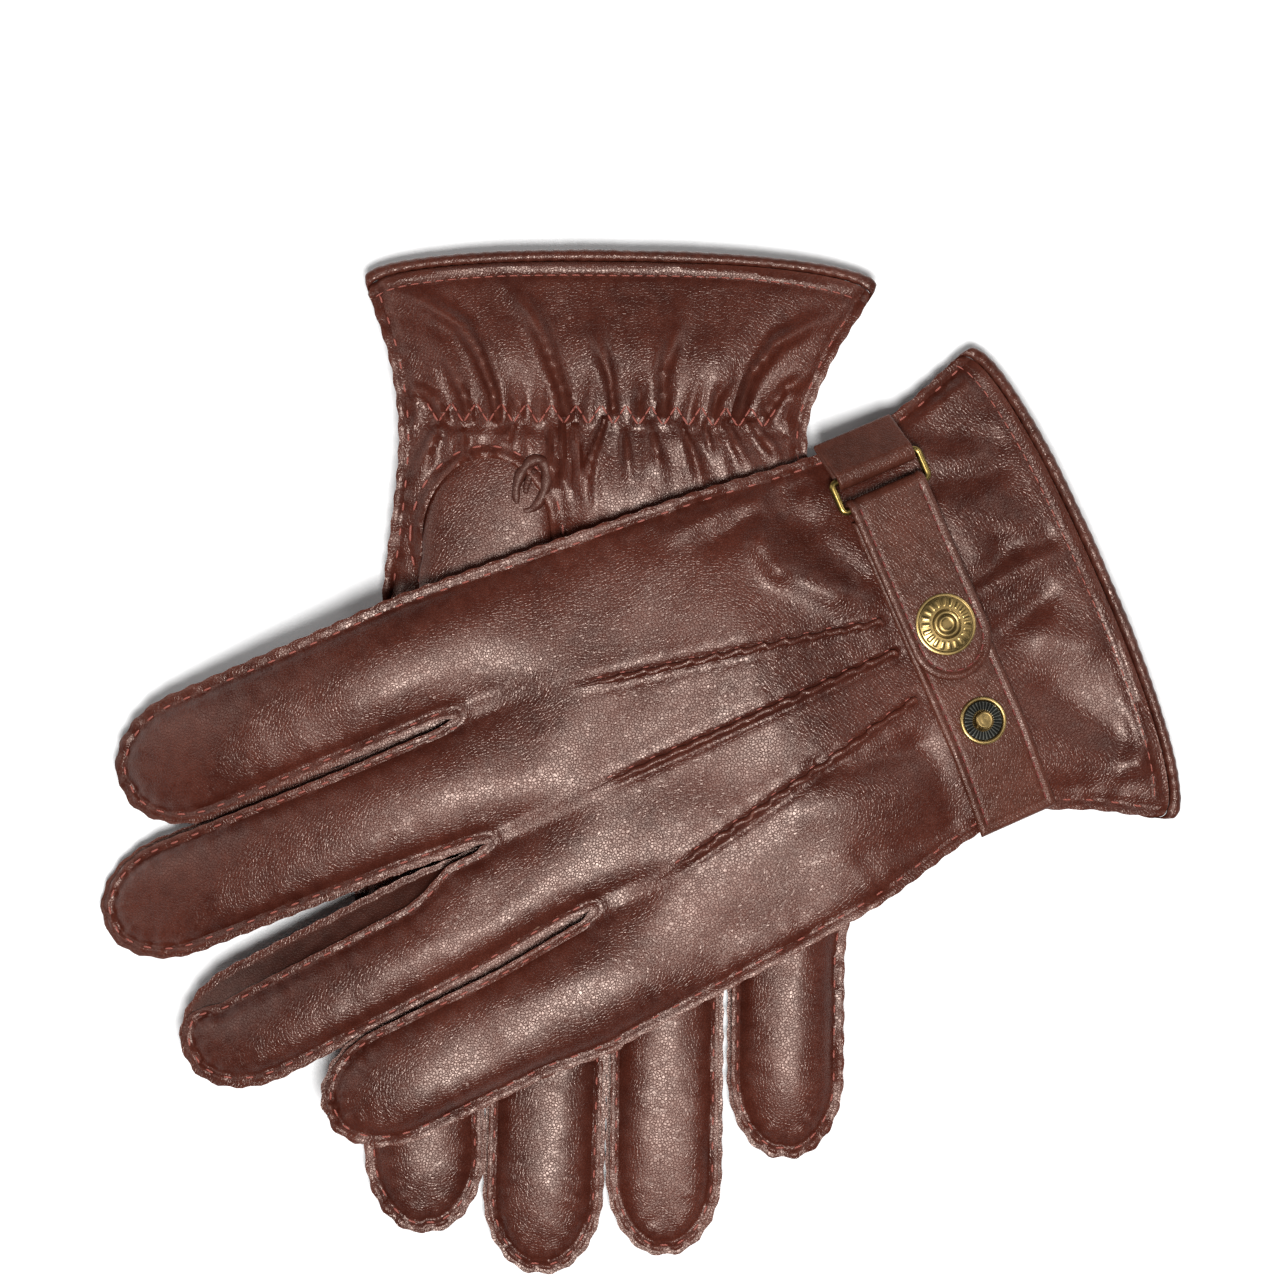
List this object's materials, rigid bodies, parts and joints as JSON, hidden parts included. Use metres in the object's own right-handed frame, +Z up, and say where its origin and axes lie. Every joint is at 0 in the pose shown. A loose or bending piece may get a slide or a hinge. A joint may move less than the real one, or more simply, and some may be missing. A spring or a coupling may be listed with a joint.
{
  "type": "pair of leather gloves",
  "caption": "Pair of lined leather dress gloves laid one across the other, with hand-stitched seams, raised points, an elastic wrist and a snap strap through a metal ring.",
  "frame": {"origin": "on the table under the middle of the crossed pair, at the centre of the bottom of its bounding box", "axes": "+Z up from the table; the right glove's fingers point along -Y; the left glove crosses it with its fingers towards -X"},
  "size_m": [0.2613, 0.2474, 0.0311],
  "materials": {
    "leather": "smooth nappa, soft sheen, dark chestnut",
    "strap_leather": "smooth nappa, soft sheen, dark chestnut",
    "lining": "fine knitted lining",
    "elastic": "woven elastic tape",
    "thread": "matt sewing thread",
    "antique_brass": "aged brass with dark recesses"
  },
  "bodies": {
    "right_glove": {"right_back_panel": "leather", "right_palm_panel": "leather", "right_thumb": "leather", "right_fourchette_index_middle": "leather", "right_fourchette_middle_ring": "leather", "right_fourchette_ring_little": "leather", "right_back_lining": "lining", "right_palm_lining": "lining", "right_cuff_binding": "leather", "right_wrist_elastic": "elastic", "right_elastic_stitching": "thread", "right_back_points": "leather", "right_strap_base": "strap_leather", "right_keeper_tab": "strap_leather", "right_snap_studs": "antique_brass"},
    "left_glove": {"left_back_panel": "leather", "left_palm_panel": "leather", "left_thumb": "leather", "left_fourchette_index_middle": "leather", "left_fourchette_middle_ring": "leather", "left_fourchette_ring_little": "leather", "left_back_lining": "lining", "left_palm_lining": "lining", "left_cuff_binding": "leather", "left_wrist_elastic": "elastic", "left_elastic_stitching": "thread", "left_back_points": "leather", "left_strap_base": "strap_leather", "left_keeper_tab": "strap_leather", "left_snap_studs": "antique_brass"},
    "right_ring": {"right_strap_ring": "antique_brass"},
    "right_flap": {"right_strap_flap": "strap_leather", "right_snap_cap": "antique_brass", "right_snap_socket": "antique_brass"},
    "left_ring": {"left_strap_ring": "antique_brass"},
    "left_flap": {"left_strap_flap": "strap_leather", "left_snap_cap": "antique_brass", "left_snap_socket": "antique_brass"}
  },
  "joints": [
    {"name": "left_glove_lift", "type": "slide", "parent": "right_glove", "child": "left_glove", "axis": [0, 0, 1], "range_m": [0, 0.12]},
    {"name": "right_ring_hinge", "type": "hinge", "parent": "right_glove", "child": "right_ring", "pos_m": [-0.05007, 0.08208, 0.00415], "axis": [0.0175, 0.9998, 0], "range_deg": [0, 15]},
    {"name": "right_flap_hinge", "type": "hinge", "parent": "right_ring", "child": "right_flap", "pos_m": [-0.04258, 0.08195, 0.00415], "axis": [0.0175, 0.9998, 0], "range_deg": [0, 130]},
    {"name": "left_ring_hinge", "type": "hinge", "parent": "left_glove", "child": "left_ring", "pos_m": [0.05594, 0.07103, 0.02249], "axis": [-0.8886, -0.3845, 0.2501], "range_deg": [0, 15]},
    {"name": "left_flap_hinge", "type": "hinge", "parent": "left_ring", "child": "left_flap", "pos_m": [0.05892, 0.06414, 0.02249], "axis": [-0.8886, -0.3845, 0.2501], "range_deg": [0, 130]}
  ]
}
